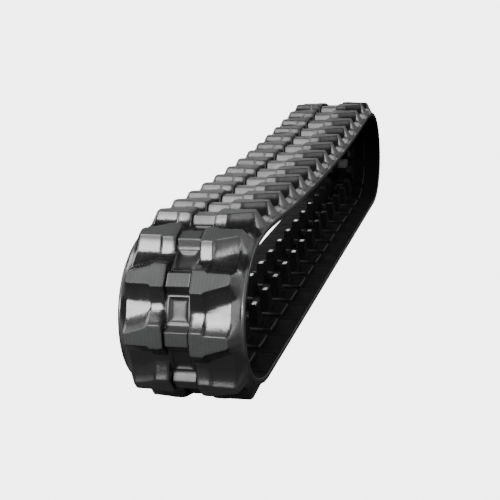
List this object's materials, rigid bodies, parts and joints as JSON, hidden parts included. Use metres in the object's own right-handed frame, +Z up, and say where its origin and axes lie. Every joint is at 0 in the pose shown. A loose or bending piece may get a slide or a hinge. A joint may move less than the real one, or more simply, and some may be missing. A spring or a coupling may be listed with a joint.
{
  "type": "rubber track",
  "caption": "Endless rubber track for a small excavator: tread lugs outside, guide lugs and sprocket pockets inside, steel cores and cords within, standing as a sagging loop.",
  "frame": {"origin": "on the floor under the middle of the loop, in the middle of the belt width", "axes": "+X along the track towards the far end, +Y across the belt, +Z up"},
  "size_m": [1.2866, 0.18, 0.2626],
  "materials": {
    "black_rubber": "satin, glossy valleys",
    "core_steel": "as forged, primed",
    "cord_steel": "brass-coated drawn wire"
  },
  "bodies": {
    "bottom_run": {"rubber_bottom": "black_rubber", "guide_lugs_bottom": "black_rubber", "cores_bottom": "core_steel", "cords_bottom": "cord_steel"},
    "near_turn_1": {"rubber_near_1": "black_rubber", "core_near_1": "core_steel", "cords_near_1": "cord_steel"},
    "near_turn_2": {"rubber_near_2": "black_rubber", "core_near_2": "core_steel", "cords_near_2": "cord_steel"},
    "near_turn_3": {"rubber_near_3": "black_rubber", "core_near_3": "core_steel", "cords_near_3": "cord_steel"},
    "near_turn_4": {"rubber_near_4": "black_rubber", "core_near_4": "core_steel", "cords_near_4": "cord_steel"},
    "near_turn_5": {"rubber_near_5": "black_rubber", "core_near_5": "core_steel", "cords_near_5": "cord_steel"},
    "near_turn_6": {"rubber_near_6": "black_rubber", "core_near_6": "core_steel", "cords_near_6": "cord_steel"},
    "near_top_1": {"rubber_near_top_1": "black_rubber", "cores_near_top_1": "core_steel", "cords_near_top_1": "cord_steel"},
    "near_top_2": {"rubber_near_top_2": "black_rubber", "cores_near_top_2": "core_steel", "cords_near_top_2": "cord_steel"},
    "near_top_3": {"rubber_near_top_3": "black_rubber", "cores_near_top_3": "core_steel", "cords_near_top_3": "cord_steel"},
    "far_turn_1": {"rubber_far_1": "black_rubber", "core_far_1": "core_steel", "cords_far_1": "cord_steel"},
    "far_turn_2": {"rubber_far_2": "black_rubber", "core_far_2": "core_steel", "cords_far_2": "cord_steel"},
    "far_turn_3": {"rubber_far_3": "black_rubber", "core_far_3": "core_steel", "cords_far_3": "cord_steel"},
    "far_turn_4": {"rubber_far_4": "black_rubber", "core_far_4": "core_steel", "cords_far_4": "cord_steel"},
    "far_turn_5": {"rubber_far_5": "black_rubber", "core_far_5": "core_steel", "cords_far_5": "cord_steel"},
    "far_turn_6": {"rubber_far_6": "black_rubber", "core_far_6": "core_steel", "cords_far_6": "cord_steel"},
    "far_top_1": {"rubber_far_top_1": "black_rubber", "cores_far_top_1": "core_steel", "cords_far_top_1": "cord_steel"},
    "far_top_2": {"rubber_far_top_2": "black_rubber", "cores_far_top_2": "core_steel", "cords_far_top_2": "cord_steel"},
    "far_top_3": {"rubber_far_top_3": "black_rubber", "cores_far_top_3": "core_steel", "cords_far_top_3": "cord_steel"}
  },
  "joints": [
    {"name": "flex_near_turn_1", "type": "hinge", "parent": "bottom_run", "child": "near_turn_1", "pos_m": [-0.504, 0, 0.02], "axis": [0, 1, 0], "range_deg": [-1.07, 0.53], "stiffness_Nm_per_rad": 60},
    {"name": "flex_near_turn_2", "type": "hinge", "parent": "near_turn_1", "child": "near_turn_2", "pos_m": [-0.57277, 0, 0.03837], "axis": [0, 1, 0], "range_deg": [-1.31, 0.65], "stiffness_Nm_per_rad": 60},
    {"name": "flex_near_turn_3", "type": "hinge", "parent": "near_turn_2", "child": "near_turn_3", "pos_m": [-0.61748, 0, 0.09281], "axis": [0, 1, 0], "range_deg": [-0.87, 1.75], "stiffness_Nm_per_rad": 60},
    {"name": "flex_near_turn_4", "type": "hinge", "parent": "near_turn_3", "child": "near_turn_4", "pos_m": [-0.61619, 0, 0.16339], "axis": [0, 1, 0], "range_deg": [-1.5, 3], "stiffness_Nm_per_rad": 60},
    {"name": "flex_near_turn_5", "type": "hinge", "parent": "near_turn_4", "child": "near_turn_5", "pos_m": [-0.57117, 0, 0.21793], "axis": [0, 1, 0], "range_deg": [-1.33, 2.66], "stiffness_Nm_per_rad": 60},
    {"name": "flex_near_turn_6", "type": "hinge", "parent": "near_turn_5", "child": "near_turn_6", "pos_m": [-0.5035, 0, 0.24062], "axis": [0, 1, 0], "range_deg": [-0.34, 0.68], "stiffness_Nm_per_rad": 60},
    {"name": "flex_near_top_1", "type": "hinge", "parent": "near_turn_6", "child": "near_top_1", "pos_m": [-0.43159, 0, 0.24124], "axis": [0, 1, 0], "range_deg": [-1.28, 0.64], "stiffness_Nm_per_rad": 60},
    {"name": "flex_near_top_2", "type": "hinge", "parent": "near_top_1", "child": "near_top_2", "pos_m": [-0.28788, 0, 0.23207], "axis": [0, 1, 0], "range_deg": [-1.98, 0.99], "stiffness_Nm_per_rad": 60},
    {"name": "flex_near_top_3", "type": "hinge", "parent": "near_top_2", "child": "near_top_3", "pos_m": [-0.14399, 0, 0.22657], "axis": [0, 1, 0], "range_deg": [-2.47, 1.23], "stiffness_Nm_per_rad": 60},
    {"name": "flex_far_turn_1", "type": "hinge", "parent": "bottom_run", "child": "far_turn_1", "pos_m": [0.504, 0, 0.02], "axis": [0, -1, 0], "range_deg": [-1.07, 0.53], "stiffness_Nm_per_rad": 60},
    {"name": "flex_far_turn_2", "type": "hinge", "parent": "far_turn_1", "child": "far_turn_2", "pos_m": [0.57277, 0, 0.03837], "axis": [0, -1, 0], "range_deg": [-1.31, 0.65], "stiffness_Nm_per_rad": 60},
    {"name": "flex_far_turn_3", "type": "hinge", "parent": "far_turn_2", "child": "far_turn_3", "pos_m": [0.61748, 0, 0.09281], "axis": [0, -1, 0], "range_deg": [-0.87, 1.75], "stiffness_Nm_per_rad": 60},
    {"name": "flex_far_turn_4", "type": "hinge", "parent": "far_turn_3", "child": "far_turn_4", "pos_m": [0.61619, 0, 0.16339], "axis": [0, -1, 0], "range_deg": [-1.5, 3], "stiffness_Nm_per_rad": 60},
    {"name": "flex_far_turn_5", "type": "hinge", "parent": "far_turn_4", "child": "far_turn_5", "pos_m": [0.57117, 0, 0.21793], "axis": [0, -1, 0], "range_deg": [-1.33, 2.66], "stiffness_Nm_per_rad": 60},
    {"name": "flex_far_turn_6", "type": "hinge", "parent": "far_turn_5", "child": "far_turn_6", "pos_m": [0.5035, 0, 0.24062], "axis": [0, -1, 0], "range_deg": [-0.34, 0.68], "stiffness_Nm_per_rad": 60},
    {"name": "flex_far_top_1", "type": "hinge", "parent": "far_turn_6", "child": "far_top_1", "pos_m": [0.43159, 0, 0.24124], "axis": [0, -1, 0], "range_deg": [-1.28, 0.64], "stiffness_Nm_per_rad": 60},
    {"name": "flex_far_top_2", "type": "hinge", "parent": "far_top_1", "child": "far_top_2", "pos_m": [0.28788, 0, 0.23207], "axis": [0, -1, 0], "range_deg": [-1.98, 0.99], "stiffness_Nm_per_rad": 60},
    {"name": "flex_far_top_3", "type": "hinge", "parent": "far_top_2", "child": "far_top_3", "pos_m": [0.14399, 0, 0.22657], "axis": [0, -1, 0], "range_deg": [-2.47, 1.23], "stiffness_Nm_per_rad": 60}
  ],
  "couplings": [
    {"joint": "flex_near_turn_2", "follows": "flex_near_turn_1", "ratio": 1.226},
    {"joint": "flex_near_turn_3", "follows": "flex_near_turn_1", "ratio": -1.6375},
    {"joint": "flex_near_turn_4", "follows": "flex_near_turn_1", "ratio": -2.8156},
    {"joint": "flex_near_turn_5", "follows": "flex_near_turn_1", "ratio": -2.499},
    {"joint": "flex_near_turn_6", "follows": "flex_near_turn_1", "ratio": -0.6421},
    {"joint": "flex_near_top_1", "follows": "flex_near_turn_1", "ratio": 1.1983},
    {"joint": "flex_near_top_2", "follows": "flex_near_turn_1", "ratio": 1.8552},
    {"joint": "flex_near_top_3", "follows": "flex_near_turn_1", "ratio": 2.3147},
    {"joint": "flex_far_turn_1", "follows": "flex_near_turn_1", "ratio": 1},
    {"joint": "flex_far_turn_2", "follows": "flex_near_turn_1", "ratio": 1.226},
    {"joint": "flex_far_turn_3", "follows": "flex_near_turn_1", "ratio": -1.6375},
    {"joint": "flex_far_turn_4", "follows": "flex_near_turn_1", "ratio": -2.8156},
    {"joint": "flex_far_turn_5", "follows": "flex_near_turn_1", "ratio": -2.499},
    {"joint": "flex_far_turn_6", "follows": "flex_near_turn_1", "ratio": -0.6421},
    {"joint": "flex_far_top_1", "follows": "flex_near_turn_1", "ratio": 1.1983},
    {"joint": "flex_far_top_2", "follows": "flex_near_turn_1", "ratio": 1.8552},
    {"joint": "flex_far_top_3", "follows": "flex_near_turn_1", "ratio": 2.3147}
  ]
}
